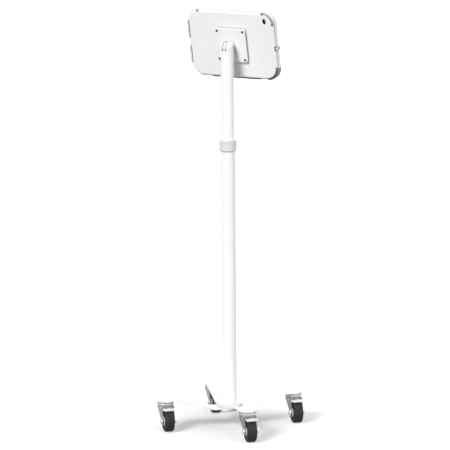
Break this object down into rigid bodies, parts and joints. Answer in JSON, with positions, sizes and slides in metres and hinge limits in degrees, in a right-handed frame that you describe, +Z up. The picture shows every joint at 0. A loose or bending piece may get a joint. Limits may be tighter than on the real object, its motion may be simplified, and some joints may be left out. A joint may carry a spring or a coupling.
{
  "type": "tablet cart",
  "caption": "Rolling stand with a bent cross base on braked casters, a telescoping round pole and a tilting, turning, hinged case that holds a tablet.",
  "frame": {"origin": "point on the floor under the pole's axis", "axes": "+Z up along the pole, -Y the way the screen faces, +X to the right of someone who faces the screen; the screen leans back 11 degrees from vertical"},
  "size_m": [0.4204, 0.4204, 1.4467],
  "materials": {
    "white_paint": "semi-gloss white powder coat",
    "white_plastic": "white moulded plastic",
    "grey_plastic": "light grey moulded plastic",
    "light_grey_plastic": "light grey moulded plastic",
    "dark_grey_plastic": "dark grey moulded plastic",
    "dark_plastic": "dark moulded plastic",
    "zinc_steel": "zinc-plated steel",
    "pedal_steel": "bright zinc-plated steel",
    "black_steel": "black oxide steel",
    "black_tyre": "matt black rubber",
    "hub_plastic": "white moulded plastic",
    "dark_aluminium": "dark anodised aluminium",
    "screen_glass": "dark polished glass over a display that is off",
    "lens_black": "black camera lens",
    "black_foam": "black foam"
  },
  "bodies": {
    "base": {"base_cross": "white_paint", "pole_flange": "white_plastic", "foot_plug": "zinc_steel", "foot_washer": "zinc_steel", "foot_bolt": "zinc_steel", "lower_tube": "white_paint", "caster_stud_a": "zinc_steel", "caster_stud_b": "zinc_steel", "caster_stud_c": "zinc_steel", "caster_stud_d": "zinc_steel"},
    "collar": {"collar_nut": "grey_plastic"},
    "sleeve": {"clamp_sleeve": "dark_plastic"},
    "mast": {"upper_tube": "white_paint", "guide_bush": "dark_plastic", "tilt_head": "white_paint", "tilt_pin": "zinc_steel"},
    "tilt": {"tilt_tongue": "white_paint", "turn_bolt": "zinc_steel", "turn_washers": "dark_plastic"},
    "case": {"vesa_plate": "white_paint", "vesa_screws": "black_steel", "rear_shell": "white_paint", "upper_shell_guard": "light_grey_plastic", "lower_shell_guard": "dark_grey_plastic", "shell_hinges": "white_paint", "hinge_pins": "zinc_steel", "tablet_body": "dark_aluminium", "tablet_glass": "screen_glass", "tablet_lens": "lens_black", "shell_pads": "black_foam"},
    "front": {"front_frame": "white_paint", "upper_guard": "light_grey_plastic", "lower_guard": "dark_grey_plastic", "frame_hinges": "white_paint", "lock_plate": "zinc_steel", "rim_pads": "black_foam"},
    "lock": {"lock_plunger": "zinc_steel"},
    "fork_a": {"caster_fork_a": "zinc_steel", "caster_pins_a": "zinc_steel"},
    "pedal_a": {"brake_pedal_a": "pedal_steel"},
    "wheel_a": {"tyre_a": "black_tyre", "wheel_hub_a": "hub_plastic"},
    "fork_b": {"caster_fork_b": "zinc_steel", "caster_pins_b": "zinc_steel"},
    "pedal_b": {"brake_pedal_b": "pedal_steel"},
    "wheel_b": {"tyre_b": "black_tyre", "wheel_hub_b": "hub_plastic"},
    "fork_c": {"caster_fork_c": "zinc_steel", "caster_pins_c": "zinc_steel"},
    "pedal_c": {"brake_pedal_c": "pedal_steel"},
    "wheel_c": {"tyre_c": "black_tyre", "wheel_hub_c": "hub_plastic"},
    "fork_d": {"caster_fork_d": "zinc_steel", "caster_pins_d": "zinc_steel"},
    "pedal_d": {"brake_pedal_d": "pedal_steel"},
    "wheel_d": {"tyre_d": "black_tyre", "wheel_hub_d": "hub_plastic"}
  },
  "joints": [
    {"name": "collar_twist", "type": "hinge", "parent": "base", "child": "collar", "pos_m": [0, 0, 0.98], "axis": [0, 0, 1], "range_deg": [0, 90]},
    {"name": "pole_swivel", "type": "hinge", "parent": "base", "child": "sleeve", "pos_m": [0, 0, 0.95], "axis": [0, 0, 1], "continuous": true},
    {"name": "pole_height", "type": "slide", "parent": "sleeve", "child": "mast", "axis": [0, 0, 1], "range_m": [-0.2, 0.15]},
    {"name": "screen_tilt", "type": "hinge", "parent": "mast", "child": "tilt", "pos_m": [0, 0, 1.317], "axis": [-1, 0, 0], "range_deg": [-11, 79]},
    {"name": "screen_turn", "type": "hinge", "parent": "tilt", "child": "case", "pos_m": [0, -0.02621, 1.3221], "axis": [0, -0.9816, 0.1908], "range_deg": [-90, 90]},
    {"name": "frame_hinge", "type": "hinge", "parent": "case", "child": "front", "pos_m": [0.1688, -0.03848, 1.32448], "axis": [0, 0.1908, 0.9816], "range_deg": [0, 110]},
    {"name": "lock_push", "type": "slide", "parent": "front", "child": "lock", "axis": [1, 0, 0], "range_m": [0, 0.0032]},
    {"name": "caster_swivel_a", "type": "hinge", "parent": "base", "child": "fork_a", "pos_m": [0.1625, 0.1625, 0.09], "axis": [0, 0, 1], "continuous": true},
    {"name": "wheel_roll_a", "type": "hinge", "parent": "fork_a", "child": "wheel_a", "pos_m": [0.13563, 0.18937, 0.0375], "axis": [0.7071, 0.7071, 0], "continuous": true},
    {"name": "brake_press_a", "type": "hinge", "parent": "fork_a", "child": "pedal_a", "pos_m": [0.14836, 0.17664, 0.0796], "axis": [-0.7071, -0.7071, 0], "range_deg": [0, 7]},
    {"name": "caster_swivel_b", "type": "hinge", "parent": "base", "child": "fork_b", "pos_m": [-0.1625, 0.1625, 0.09], "axis": [0, 0, 1], "continuous": true},
    {"name": "wheel_roll_b", "type": "hinge", "parent": "fork_b", "child": "wheel_b", "pos_m": [-0.18937, 0.18937, 0.0375], "axis": [0.7071, 0.7071, 0], "continuous": true},
    {"name": "brake_press_b", "type": "hinge", "parent": "fork_b", "child": "pedal_b", "pos_m": [-0.17664, 0.17664, 0.0796], "axis": [-0.7071, -0.7071, 0], "range_deg": [0, 7]},
    {"name": "caster_swivel_c", "type": "hinge", "parent": "base", "child": "fork_c", "pos_m": [-0.1625, -0.1625, 0.09], "axis": [0, 0, 1], "continuous": true},
    {"name": "wheel_roll_c", "type": "hinge", "parent": "fork_c", "child": "wheel_c", "pos_m": [-0.18937, -0.13563, 0.0375], "axis": [0.7071, 0.7071, 0], "continuous": true},
    {"name": "brake_press_c", "type": "hinge", "parent": "fork_c", "child": "pedal_c", "pos_m": [-0.17664, -0.14836, 0.0796], "axis": [-0.7071, -0.7071, 0], "range_deg": [0, 7]},
    {"name": "caster_swivel_d", "type": "hinge", "parent": "base", "child": "fork_d", "pos_m": [0.1625, -0.1625, 0.09], "axis": [0, 0, 1], "continuous": true},
    {"name": "wheel_roll_d", "type": "hinge", "parent": "fork_d", "child": "wheel_d", "pos_m": [0.13563, -0.13563, 0.0375], "axis": [0.7071, 0.7071, 0], "continuous": true},
    {"name": "brake_press_d", "type": "hinge", "parent": "fork_d", "child": "pedal_d", "pos_m": [0.14836, -0.14836, 0.0796], "axis": [-0.7071, -0.7071, 0], "range_deg": [0, 7]}
  ]
}
